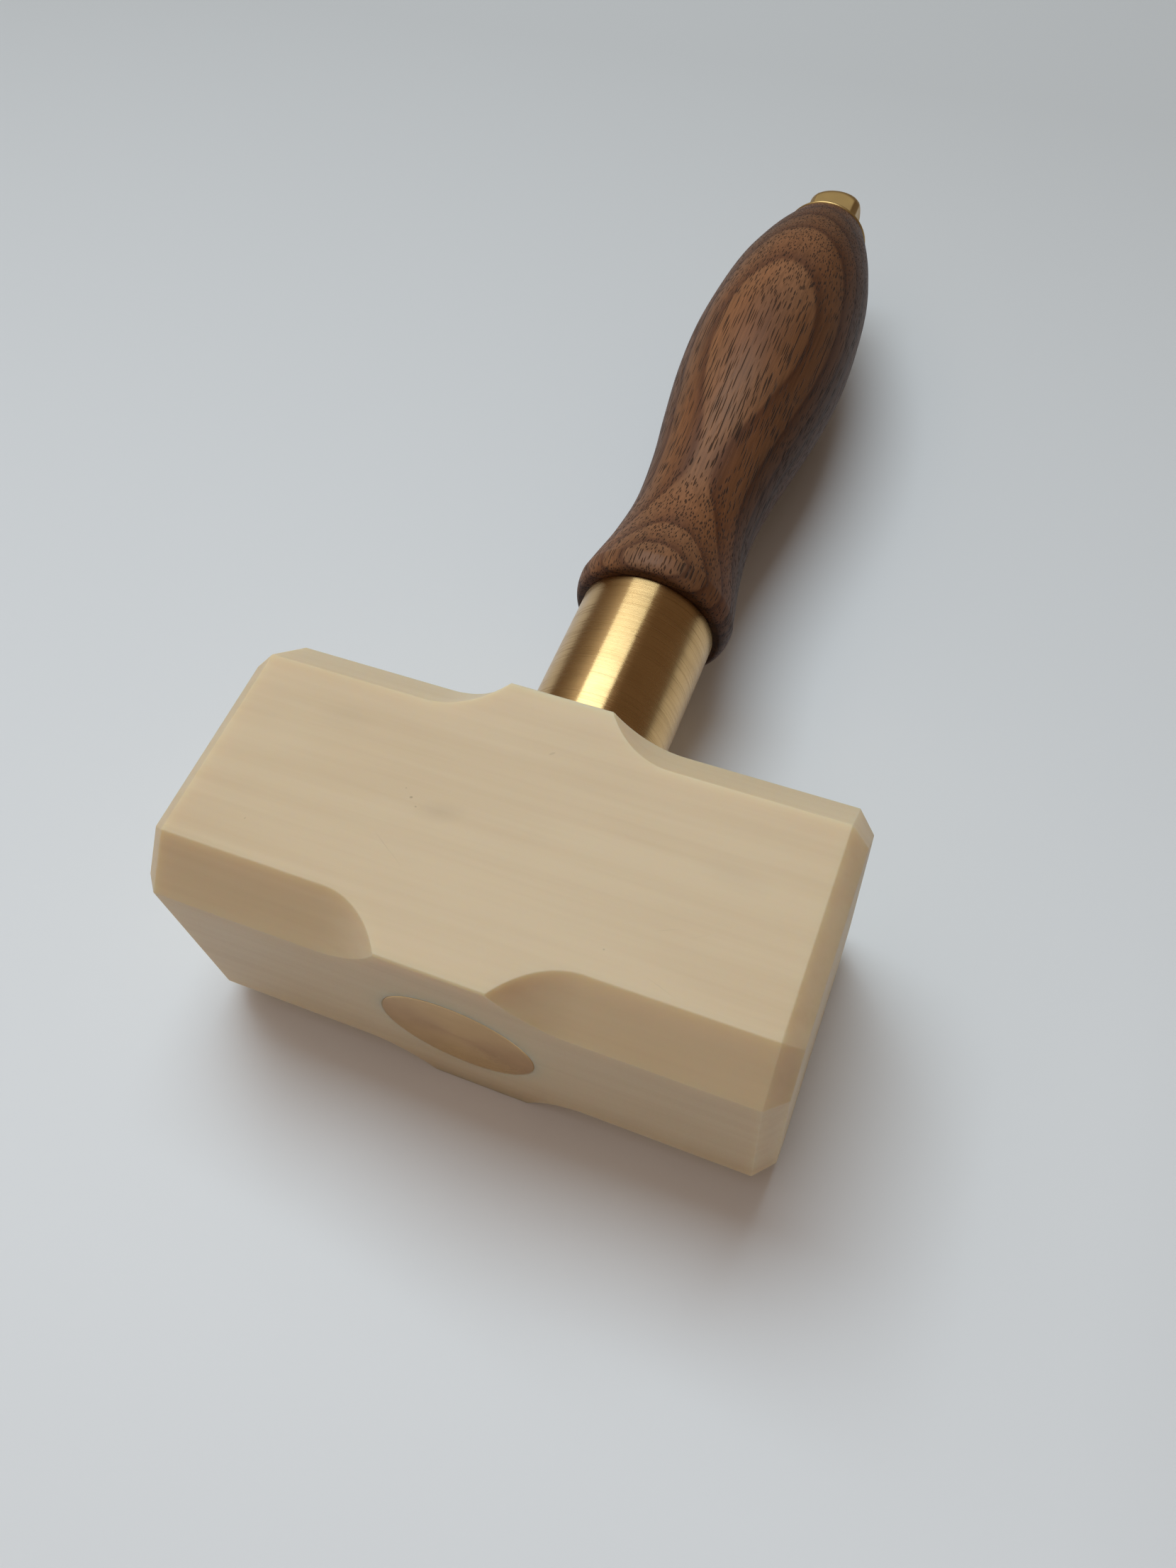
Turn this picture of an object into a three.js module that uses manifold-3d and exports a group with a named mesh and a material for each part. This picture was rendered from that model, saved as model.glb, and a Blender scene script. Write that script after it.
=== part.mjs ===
// A leatherworker's mallet, lying on one cheek: a nylon head on a solid brass shank, and a turned
// walnut handle clamped against the shank by a steel stud and a brass cap nut.
//
// Millimetres, +Z up. The head strikes along X, and the handle points along +Y. Every turned
// piece is centred on the handle's axis, at height AXIS_HEIGHT over the lower cheek. The origin
// is on the plane of that cheek, under the middle of the whole mallet. The pieces are drawn with
// Y = 0 at the middle of the head and Z = 0 on the handle's axis, and the group moves them.

import * as THREE from "three";
import { ConvexGeometry } from "three/addons/geometries/ConvexGeometry.js";
import { mergeVertices } from "three/addons/utils/BufferGeometryUtils.js";
import Module from "manifold-3d";

const wasm = await Module();
wasm.setup();

// Head: a rectangular block with stopped chamfers on its four long edges.
const HEAD_LENGTH = 100; // from one striking face to the other
const HEAD_DEPTH = 48; // along the handle
const HEAD_THICKNESS = 49; // from cheek to cheek
const LONG_CHAMFER = 7.2; // leg of the chamfers along the long edges
const END_CHAMFER = 3; // leg of the chamfer round each striking face
const RUN_OUT_RADIUS = 16; // of the drum that ends each long chamfer
const RUN_OUT_START = 20; // from the middle of the head to where the drum begins to lift

// Shank: one brass bar through the head, flush with the head's crown.
const SHANK_RADIUS = 12.5;
const COLLAR_LENGTH = 35.5; // what shows between the head and the handle
const SHANK_BEVEL = 0.5;
const BORE_GAP = 0.05; // between the shank and the head's bore

// Handle: turned outline, as [radius, distance from the mouth].
const HANDLE_LENGTH = 115;
const HANDLE_BORE_RADIUS = 3.4;
const MOUTH_RADIUS = 13.3; // flat ring that meets the shank's end
const LIP_RADIUS = 14.9;
const LIP_STATION = 3.9; // where the rounded lip is widest
const GRIP_OUTLINE = [
  [LIP_RADIUS, LIP_STATION],
  [14.3, 7],
  [12.84, 14.5],
  [11.92, 24.5],
  [12.74, 36.5],
  [14.54, 48.5],
  [16.12, 60.5],
  [16.82, 72.5],
  [16.29, 84.5],
  [15.19, 94.5],
  [13.36, 102.5],
  [11.56, 108.5],
  [9.1, HANDLE_LENGTH],
];
const GRIP_STEPS = 28;

// Stud: a rod threaded at both ends, size M6 with a 1 mm pitch.
const STUD_RADIUS = 3;
const THREAD_ROOT_RADIUS = 2.4;
const THREAD_PITCH = 1;
const SHANK_THREAD_LENGTH = 14;
const NUT_THREAD_LENGTH = 7.5;
const THREAD_GAP = 0.15; // radial, between male and female threads
const SHANK_HOLE_ROOM = 2.5; // tapped hole beyond the end of the stud
const NUT_HOLE_ROOM = 1;
const DRILL_POINT_SLOPE = Math.tan((31 * Math.PI) / 180); // of a 118 degree drill

// Cap nut: a flared skirt, a round body with four wrench flats, and a dome.
const SKIRT_RADIUS = 9.2;
const SKIRT_EDGE_RADIUS = 0.4;
const FLARE_HEIGHT = 4.2; // from the seat to where the flare meets the body
const NUT_BODY_RADIUS = 7.0;
const NUT_BODY_HEIGHT = 7.6; // from the seat to where the dome begins
const DOME_HEIGHT = 4.7;
const ACROSS_FLATS = 11;
const FLATS_START = 1.4; // from the seat to the lowest point of the cut
const FLATS_FILLET = 2.2; // radius that leads each flat out through the flare

const ROUND_SEGMENTS = 48;
const THREAD_SEGMENTS = 16; // around one turn of a thread
const SEAT_GAP = 0.02; // between faces that bear on each other

const AXIS_HEIGHT = HEAD_THICKNESS / 2;
const HEAD_CROWN = -HEAD_DEPTH / 2;
const SHANK_END = HEAD_DEPTH / 2 + COLLAR_LENGTH;
const HANDLE_START = SHANK_END + SEAT_GAP;
const NUT_SEAT = HANDLE_START + HANDLE_LENGTH + SEAT_GAP;
const NUT_TIP = NUT_SEAT + NUT_BODY_HEIGHT + DOME_HEIGHT;

const nylon = new THREE.MeshStandardMaterial({ color: 0xe0d0a8, roughness: 0.5, metalness: 0 });
const brass = new THREE.MeshStandardMaterial({ color: 0xc8a050, roughness: 0.25, metalness: 1 });
const walnut = new THREE.MeshStandardMaterial({ color: 0x6d452c, roughness: 0.45, metalness: 0 });
const steel = new THREE.MeshStandardMaterial({ color: 0xa8abb0, roughness: 0.35, metalness: 1 });

// Three.js geometry to a solid and back.

function solidOf(geometry) {
  const bare = geometry.clone();
  bare.deleteAttribute("normal");
  bare.deleteAttribute("uv");
  const merged = mergeVertices(bare, 1e-4);
  return new wasm.Manifold(
    new wasm.Mesh({
      numProp: 3,
      vertProperties: merged.attributes.position.array,
      triVerts: new Uint32Array(merged.index.array),
    }),
  );
}

function meshOf(name, solid, material) {
  const { vertProperties, triVerts } = solid.getMesh();
  const geometry = new THREE.BufferGeometry();
  geometry.setAttribute("position", new THREE.BufferAttribute(vertProperties, 3));
  geometry.setIndex(new THREE.BufferAttribute(triVerts, 1));
  const mesh = new THREE.Mesh(geometry, material);
  mesh.name = name;
  return mesh;
}

// Turned solids about the Y axis, from [radius, y] pairs.

function turned(outline, segments = ROUND_SEGMENTS) {
  const points = outline.map(([radius, y]) => new THREE.Vector2(radius, y));
  return solidOf(new THREE.LatheGeometry(points, segments));
}

function rod(radius, start, end, segments = ROUND_SEGMENTS) {
  return turned([[0, start], [radius, start], [radius, end], [0, end]], segments);
}

function arc(centre, radii, fromDegrees, toDegrees, steps) {
  const points = [];
  for (let step = 0; step <= steps; step += 1) {
    const degrees = fromDegrees + ((toDegrees - fromDegrees) * step) / steps;
    const angle = THREE.MathUtils.degToRad(degrees);
    points.push([centre[0] + radii[0] * Math.cos(angle), centre[1] + radii[1] * Math.sin(angle)]);
  }
  return points;
}

// Threads: a V-shaped helix on a core. Its roots lie at whole pitches along the axis, so male and
// female threads match wherever they start. The end caps are fans, and are trimmed off by the cut
// that gives the thread its length.

function threadedRod(rootRadius, crestRadius, start, end) {
  const turns = Math.ceil((end - start) / THREAD_PITCH) + 4;
  const rows = 2 * turns + 1;
  const columns = THREAD_SEGMENTS + 1;
  const bottom = (Math.floor(start / THREAD_PITCH) - 2) * THREAD_PITCH;
  const positions = [];
  for (let column = 0; column < columns; column += 1) {
    const turn = column / THREAD_SEGMENTS;
    const angle = 2 * Math.PI * turn;
    for (let row = 0; row < rows; row += 1) {
      const radius = row % 2 === 0 ? rootRadius : crestRadius;
      const y = bottom + (row / 2 + turn) * THREAD_PITCH;
      positions.push(radius * Math.sin(angle), y, radius * Math.cos(angle));
    }
  }
  const lowCentre = rows * columns;
  const highCentre = lowCentre + 1;
  positions.push(0, bottom - THREAD_PITCH, 0);
  positions.push(0, bottom + (turns + 2) * THREAD_PITCH, 0);

  const index = [];
  const at = (column, row) => column * rows + row;
  for (let column = 0; column < THREAD_SEGMENTS; column += 1) {
    for (let row = 0; row < rows - 1; row += 1) {
      index.push(at(column, row), at(column + 1, row), at(column + 1, row + 1));
      index.push(at(column, row), at(column + 1, row + 1), at(column, row + 1));
    }
    index.push(lowCentre, at(column + 1, 0), at(column, 0));
    index.push(highCentre, at(column, rows - 1), at(column + 1, rows - 1));
  }
  for (let row = 0; row < 2; row += 1) {
    index.push(lowCentre, at(0, row), at(0, row + 1));
    index.push(highCentre, at(THREAD_SEGMENTS, rows - 1 - row), at(THREAD_SEGMENTS, rows - 2 - row));
  }
  const geometry = new THREE.BufferGeometry();
  geometry.setAttribute("position", new THREE.Float32BufferAttribute(positions, 3));
  geometry.setIndex(index);
  return solidOf(geometry).intersect(rod(2 * crestRadius, start, end, THREAD_SEGMENTS));
}

// A blind tapped hole. direction is +1 where it goes towards +Y.
function tappedHole(mouth, threadLength, room, direction) {
  const root = THREAD_ROOT_RADIUS + THREAD_GAP;
  const crest = STUD_RADIUS + THREAD_GAP;
  const outside = mouth - direction;
  const threadEnd = mouth + direction * (threadLength + THREAD_PITCH / 2);
  const holeEnd = mouth + direction * (threadLength + room);
  const drilled = [
    [0, outside],
    [root, outside],
    [root, holeEnd],
    [0, holeEnd + direction * root * DRILL_POINT_SLOPE],
  ];
  const outline = direction > 0 ? drilled : drilled.reverse();
  const thread = threadedRod(root, crest, Math.min(outside, threadEnd), Math.max(outside, threadEnd));
  return turned(outline, THREAD_SEGMENTS).add(thread);
}

// Head.

// The block's eight-sided section at x, with every side moved outwards by offset.
function headSection(x, offset) {
  const halfDepth = HEAD_DEPTH / 2 + offset;
  const halfThickness = HEAD_THICKNESS / 2 + offset;
  const leg = LONG_CHAMFER + offset * (2 - Math.SQRT2);
  const corners = [];
  for (const [sideY, sideZ] of [[1, 1], [1, -1], [-1, 1], [-1, -1]]) {
    corners.push(new THREE.Vector3(x, sideY * halfDepth, sideZ * (halfThickness - leg)));
    corners.push(new THREE.Vector3(x, sideY * (halfDepth - leg), sideZ * halfThickness));
  }
  return corners;
}

// A wedge that narrows at 45 degrees towards one striking face. It chamfers that face's rim.
function endTaper(side) {
  const nearStrikingFace = headSection((side * HEAD_LENGTH) / 2, -END_CHAMFER);
  const farEnd = headSection((-side * HEAD_LENGTH) / 2, HEAD_LENGTH - END_CHAMFER);
  return solidOf(new ConvexGeometry([...nearStrikingFace, ...farEnd]));
}

// What is cut from one half of one long edge: flat along the chamfer, then lifting out over the
// drum. edgeAngle is the direction from the handle's axis to the edge, about X.
function chamferCutter(side, edgeAngle) {
  const depth = LONG_CHAMFER / Math.SQRT2;
  const drumHeight = RUN_OUT_RADIUS - depth;
  const beyondEnd = side * (HEAD_LENGTH / 2 + 5);
  const drumX = side * RUN_OUT_START;
  const arcEnd = side > 0 ? -Math.PI : 0;
  const outline = new THREE.Shape();
  outline.moveTo(beyondEnd, -depth);
  outline.lineTo(drumX, -depth);
  outline.absarc(drumX, drumHeight, RUN_OUT_RADIUS, -Math.PI / 2, arcEnd, side > 0);
  outline.lineTo(beyondEnd, drumHeight);
  outline.closePath();

  const width = 3 * LONG_CHAMFER;
  const extrusion = { depth: width, bevelEnabled: false, curveSegments: 20 };
  const cutter = new THREE.ExtrudeGeometry(outline, extrusion);
  cutter.translate(0, 0, -width / 2);
  cutter.rotateX(edgeAngle);
  const sideY = Math.sign(Math.cos(edgeAngle));
  const sideZ = Math.sign(Math.sin(edgeAngle));
  cutter.translate(0, (sideY * HEAD_DEPTH) / 2, (sideZ * HEAD_THICKNESS) / 2);
  return solidOf(cutter);
}

function buildHead() {
  let block = solidOf(new THREE.BoxGeometry(HEAD_LENGTH, HEAD_DEPTH, HEAD_THICKNESS));
  for (const side of [-1, 1]) {
    block = block.intersect(endTaper(side));
    for (let corner = 0; corner < 4; corner += 1) {
      block = block.subtract(chamferCutter(side, Math.PI / 4 + (corner * Math.PI) / 2));
    }
  }
  const bore = rod(SHANK_RADIUS + BORE_GAP, -HEAD_DEPTH, HEAD_DEPTH);
  return meshOf("mallet_head", block.subtract(bore), nylon);
}

// Shank.

function buildShank() {
  const bevelled = SHANK_RADIUS - SHANK_BEVEL;
  const bar = turned([
    [0, HEAD_CROWN],
    [SHANK_RADIUS, HEAD_CROWN],
    [SHANK_RADIUS, SHANK_END - SHANK_BEVEL],
    [bevelled, SHANK_END],
    [0, SHANK_END],
  ]);
  const hole = tappedHole(SHANK_END, SHANK_THREAD_LENGTH, SHANK_HOLE_ROOM, -1);
  return meshOf("brass_shank", bar.subtract(hole), brass);
}

// Handle.

function buildHandle() {
  const grip = new THREE.SplineCurve(GRIP_OUTLINE.map(([radius, y]) => new THREE.Vector2(radius, y)));
  const lipRoll = LIP_RADIUS - MOUTH_RADIUS;
  const outline = [
    [HANDLE_BORE_RADIUS, 0],
    ...arc([MOUTH_RADIUS, LIP_STATION], [lipRoll, LIP_STATION], -90, 0, 6).slice(0, -1),
    ...grip.getPoints(GRIP_STEPS).map((point) => [point.x, point.y]),
    [HANDLE_BORE_RADIUS, HANDLE_LENGTH],
    [HANDLE_BORE_RADIUS, 0],
  ];
  return meshOf("walnut_handle", turned(outline.map(([r, y]) => [r, y + HANDLE_START])), walnut);
}

// Stud.

function buildStud() {
  const shankThreadStart = SHANK_END - SHANK_THREAD_LENGTH;
  const nutThreadEnd = NUT_SEAT + NUT_THREAD_LENGTH;
  const plain = rod(STUD_RADIUS, SHANK_END + 1, NUT_SEAT - 1, THREAD_SEGMENTS);
  const shankThread = threadedRod(THREAD_ROOT_RADIUS, STUD_RADIUS, shankThreadStart, SHANK_END + 2);
  const nutThread = threadedRod(THREAD_ROOT_RADIUS, STUD_RADIUS, NUT_SEAT - 2, nutThreadEnd);
  return meshOf("tie_stud", plain.add(shankThread).add(nutThread), steel);
}

// Cap nut.

// What is milled off one side of the nut. turn is the side's direction about Y.
function flatCutter(turn) {
  const inner = ACROSS_FLATS / 2;
  const outer = 2 * SKIRT_RADIUS;
  const bottom = NUT_SEAT + FLATS_START;
  const top = NUT_TIP + 1;
  const outline = new THREE.Shape();
  outline.moveTo(outer, top);
  outline.lineTo(inner, top);
  outline.lineTo(inner, bottom + FLATS_FILLET);
  const filletX = inner + FLATS_FILLET;
  const filletY = bottom + FLATS_FILLET;
  outline.absarc(filletX, filletY, FLATS_FILLET, Math.PI, 1.5 * Math.PI, false);
  outline.lineTo(outer, bottom);
  outline.closePath();
  const extrusion = { depth: 2 * outer, bevelEnabled: false, curveSegments: 6 };
  const cutter = new THREE.ExtrudeGeometry(outline, extrusion);
  cutter.translate(0, 0, -outer);
  cutter.rotateY(turn);
  return solidOf(cutter);
}

function buildNut() {
  const lip = SKIRT_EDGE_RADIUS;
  const shoulder = SKIRT_RADIUS - lip;
  const flareRadii = [shoulder - NUT_BODY_RADIUS, FLARE_HEIGHT - 2 * lip];
  const outline = [
    [0, 0],
    ...arc([shoulder, lip], [lip, lip], -90, 90, 6),
    ...arc([shoulder, FLARE_HEIGHT], flareRadii, 270, 180, 6).slice(1),
    ...arc([0, NUT_BODY_HEIGHT], [NUT_BODY_RADIUS, DOME_HEIGHT], 0, 90, 10),
  ];
  outline[outline.length - 1][0] = 0;
  let nut = turned(outline.map(([r, y]) => [r, y + NUT_SEAT]));

  for (let flat = 0; flat < 4; flat += 1) {
    nut = nut.subtract(flatCutter((flat * Math.PI) / 2));
  }
  const hole = tappedHole(NUT_SEAT, NUT_THREAD_LENGTH, NUT_HOLE_ROOM, 1);
  return meshOf("cap_nut", nut.subtract(hole), brass);
}

const mallet = new THREE.Group();
mallet.add(buildHead(), buildShank(), buildHandle(), buildStud(), buildNut());
mallet.position.set(0, -(HEAD_CROWN + NUT_TIP) / 2, AXIS_HEIGHT);

export default mallet;
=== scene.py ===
"""Looks of the mallet: a nylon head on a turned brass bar, a walnut grip and a brass cap nut.

Metres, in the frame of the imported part: the head strikes along X, the handle points along +Y, and
the lower cheek lies on Z = 0. Sizes that are multiplied by MM are written in millimetres. The
tables of outlines and marks, and the walnut's grain, hold plain millimetres.
"""

import math

import bmesh
import bpy
from mathutils import Matrix, Vector


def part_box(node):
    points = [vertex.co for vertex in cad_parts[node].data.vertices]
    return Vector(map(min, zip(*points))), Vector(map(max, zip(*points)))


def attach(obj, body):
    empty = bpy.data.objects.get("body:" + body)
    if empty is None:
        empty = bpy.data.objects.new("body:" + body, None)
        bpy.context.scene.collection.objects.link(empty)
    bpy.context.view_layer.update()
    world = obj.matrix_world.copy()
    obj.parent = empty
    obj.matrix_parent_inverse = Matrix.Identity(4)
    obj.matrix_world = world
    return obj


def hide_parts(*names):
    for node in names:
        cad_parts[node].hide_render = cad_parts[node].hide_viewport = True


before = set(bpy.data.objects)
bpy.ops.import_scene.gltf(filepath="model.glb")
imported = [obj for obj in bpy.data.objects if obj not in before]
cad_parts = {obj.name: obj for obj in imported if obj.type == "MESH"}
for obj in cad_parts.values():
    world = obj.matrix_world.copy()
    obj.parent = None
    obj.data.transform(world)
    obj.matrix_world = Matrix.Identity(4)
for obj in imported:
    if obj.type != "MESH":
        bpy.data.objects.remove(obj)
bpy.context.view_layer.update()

MM = 0.001

# ------------------------------------------------------------------ places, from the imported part

HEAD_LOW, HEAD_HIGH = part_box("mallet_head")
SHANK_LOW, SHANK_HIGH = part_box("brass_shank")
GRIP_LOW, GRIP_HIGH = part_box("walnut_handle")
NUT_LOW, NUT_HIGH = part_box("cap_nut")

HEAD_MIDDLE = (HEAD_LOW + HEAD_HIGH) / 2
HEAD_HALF = (HEAD_HIGH - HEAD_LOW) / 2
AXIS_X = HEAD_MIDDLE.x
AXIS_Z = HEAD_MIDDLE.z
SHANK_RADIUS = (SHANK_HIGH.x - SHANK_LOW.x) / 2

# ------------------------------------------------------------------ head

LONG_CHAMFER = 7.2 * MM  # leg of the chamfers along the head
END_CHAMFER = 3.0 * MM  # leg of the chamfer round each striking face
RUN_OUT_RADIUS = 16.0 * MM
RUN_OUT_START = 20.0 * MM  # from the middle of the head
EDGE_RADIUS = 0.35 * MM  # on every edge of the head
BORE_CLEARANCE = 0.04 * MM
BORE_FLARE = 0.12 * MM  # leg of the small chamfer at both mouths of the bore
LEG_LOSS = 2 - math.sqrt(2)  # what a 45 degree chamfer's leg loses per unit of inset
DIAGONAL = math.sqrt(0.5)

HEAD_ARC_STEPS = 4  # on the rounding of each edge
CUTTER_OVERHANG = 2 * MM
BORE_SEGMENTS = 160
# Where the points lie along a chamfer and along a side, as shares of its width.
CHAMFER_SHARES = [0.02, 0.12, 0.25, 0.4, 0.6, 0.75, 0.88, 0.98]
SIDE_SHARES = [0.003] + [i / 30 for i in range(1, 30)] + [0.997]
# Distances from the middle of the head between which its sections are spaced evenly. Sections are
# close together where the chamfers rise out of the sides.
CORE_END = 7.0 * MM
STEEP_START = 7.2 * MM
STEEP_END = 12.0 * MM
STRAIGHT_START = 21.0 * MM
LAST_SECTION_GAP = 0.6 * MM  # from the last of them to the chamfer of the striking face

# ------------------------------------------------------------------ shank

SHANK_BEVEL = 0.5 * MM  # radius of its edge against the handle
CROWN_BEVEL = 0.15 * MM  # and of its edge in the crown of the head
SHANK_BEVEL_STEPS = 6
SHANK_SEGMENTS = 192
CROWN_RINGS = [0.2, 0.4, 0.6, 0.8, 0.95]  # of points on the disc, as shares of its radius

# ------------------------------------------------------------------ handle

MOUTH_RADIUS = 13.3 * MM
LIP_RADIUS = 14.9 * MM
LIP_STATION = 3.9 * MM  # where the rounded lip is widest, from the mouth
LIP_STEPS = 12
GRIP_BORE_RADIUS = 3.4 * MM
GRIP_STEPS = 24  # points from one knot of the outline to the next
GRIP_SEGMENTS = 256
# (radius, distance from the mouth) in millimetres.
GRIP_OUTLINE = [
    (14.9, 3.9),
    (14.3, 7.0),
    (12.84, 14.5),
    (11.92, 24.5),
    (12.74, 36.5),
    (14.54, 48.5),
    (16.12, 60.5),
    (16.82, 72.5),
    (16.29, 84.5),
    (15.19, 94.5),
    (13.36, 102.5),
    (11.56, 108.5),
    (9.1, 115.0),
]

# ------------------------------------------------------------------ nut

NUT_SKIRT = 9.2 * MM  # radius at the seat
NUT_LIP = 0.4 * MM  # radius of the skirt's rounded rim
NUT_FLARE = 4.2 * MM  # height at which the flare ends in the round body
NUT_BODY = 7.0 * MM  # radius of the round body
NUT_BODY_HEIGHT = 7.6 * MM
NUT_DOME = 4.7 * MM  # height of the dome over the body
NUT_HALF_FLATS = 5.5 * MM
NUT_FLATS_START = 1.4 * MM  # height at which the flats start to cut the flare
NUT_FLATS_FILLET = 2.2 * MM
NUT_EDGE = 0.12 * MM  # how far the ridges between the flats are worn back
NUT_BUFFED_EDGE = 0.9 * MM  # and the edges where the flats meet the dome
NUT_BUFFING_START = 7.4 * MM  # height at which the first starts to turn into the second
NUT_BUFFING_RUN = 2.0 * MM
NUT_LIP_STEPS = 12
NUT_FLARE_STEPS = 30
NUT_BODY_STEPS = 16
NUT_DOME_STEPS = 40
NUT_SEGMENTS = 240

# ------------------------------------------------------------------ mesh helpers

SHARP_ANGLE = math.radians(35)  # edges that turn further than this stay hard
DOUBLES_APART = 0.0005 * MM
DEGENERATE_SIZE = 0.0002 * MM
STRAIGHT_TURN = 1e-4  # a corner that turns less than this, in radians, is left as a point


def link(obj):
    bpy.context.scene.collection.objects.link(obj)
    return obj


def mesh_object(name, vertices, faces, material):
    mesh = bpy.data.meshes.new(name)
    mesh.from_pydata(vertices, [], faces)
    mesh.validate()
    mesh.materials.append(material)
    mesh.shade_smooth()
    return link(bpy.data.objects.new(name, mesh))


def finish_mesh(obj):
    """Merges doubled points, turns the faces outwards and keeps hard corners hard."""
    work = bmesh.new()
    work.from_mesh(obj.data)
    bmesh.ops.remove_doubles(work, verts=work.verts, dist=DOUBLES_APART)
    bmesh.ops.dissolve_degenerate(work, edges=work.edges, dist=DEGENERATE_SIZE)
    bmesh.ops.recalc_face_normals(work, faces=work.faces)
    work.to_mesh(obj.data)
    work.free()
    obj.data.shade_smooth()
    obj.data.set_sharp_from_angle(angle=SHARP_ANGLE)


def spaced(start, end, count):
    """count + 1 numbers from start to end, both included."""
    return [start + (end - start) * i / count for i in range(count + 1)]


def rounded_path(corners, radii, steps):
    """A polyline with each inner corner replaced by an arc. Ends stay as they are."""
    path = [Vector(corners[0])]
    for i in range(1, len(corners) - 1):
        here = Vector(corners[i])
        back = (Vector(corners[i - 1]) - here).normalized()
        ahead = (Vector(corners[i + 1]) - here).normalized()
        turn = math.pi - back.angle(ahead)
        reach = radii[i] * math.tan(turn / 2)
        if radii[i] == 0 or turn < STRAIGHT_TURN:
            path.append(here)
            continue
        bisector = (back + ahead).normalized()
        centre = here + bisector * math.hypot(reach, radii[i])
        first = here + back * reach - centre
        last = here + ahead * reach - centre
        for k in range(steps + 1):
            share = k / steps
            arm = first * math.sin((1 - share) * turn) + last * math.sin(share * turn)
            path.append(centre + arm / math.sin(turn))
    path.append(Vector(corners[-1]))
    return path


def lathe(name, outline, segments, material, radius_at=None):
    """A turned solid about the handle's axis from (radius, y) pairs. The outline starts and ends
    on the axis, or is closed on itself. radius_at(radius, y, angle) may reshape it."""
    vertices = []
    for radius, y in outline:
        for k in range(segments):
            angle = 2 * math.pi * k / segments
            r = radius_at(radius, y, angle) if radius_at else radius
            vertices.append((AXIS_X + r * math.sin(angle), y, AXIS_Z + r * math.cos(angle)))
    faces = []
    closed = outline[0] == outline[-1]
    rows = len(outline) - 1
    for row in range(rows):
        following = 0 if closed and row == rows - 1 else row + 1
        for k in range(segments):
            after = (k + 1) % segments
            faces.append((
                row * segments + k,
                row * segments + after,
                following * segments + after,
                following * segments + k,
            ))
    if closed:
        vertices = vertices[: rows * segments]
    obj = mesh_object(name, vertices, faces, material)
    finish_mesh(obj)
    return obj


# ------------------------------------------------------------------ node helpers


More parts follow.
